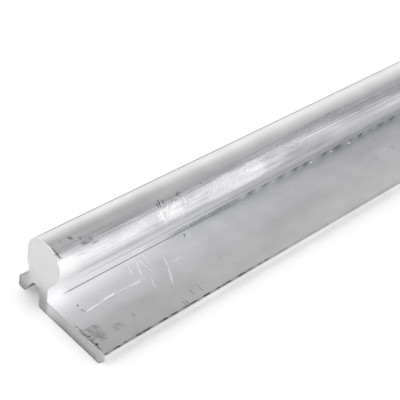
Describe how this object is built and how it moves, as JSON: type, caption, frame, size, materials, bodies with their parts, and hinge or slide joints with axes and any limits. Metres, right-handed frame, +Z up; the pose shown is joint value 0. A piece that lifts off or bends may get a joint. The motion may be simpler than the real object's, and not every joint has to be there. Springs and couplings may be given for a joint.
{
  "type": "aluminium extrusion profile",
  "caption": "Solid aluminium extrusion profile: a round bead on a short web, a flat flange at its foot and a small hooked lip beside the web, saw-cut to length.",
  "frame": {"origin": "middle of the bounding box's underside, level with the flange's underside and halfway along the bar", "axes": "+Y along the bar, away from the end that the picture shows; +X from the web towards the flange's free edge; +Z up, from the flange towards the bead"},
  "size_m": [0.0398, 1, 0.0266],
  "materials": {
    "bar": "mill finish as extruded, with fine lengthwise die lines and matt saw-cut ends"
  },
  "bodies": {
    "root": {"bar": "bar"}
  },
  "joints": []
}
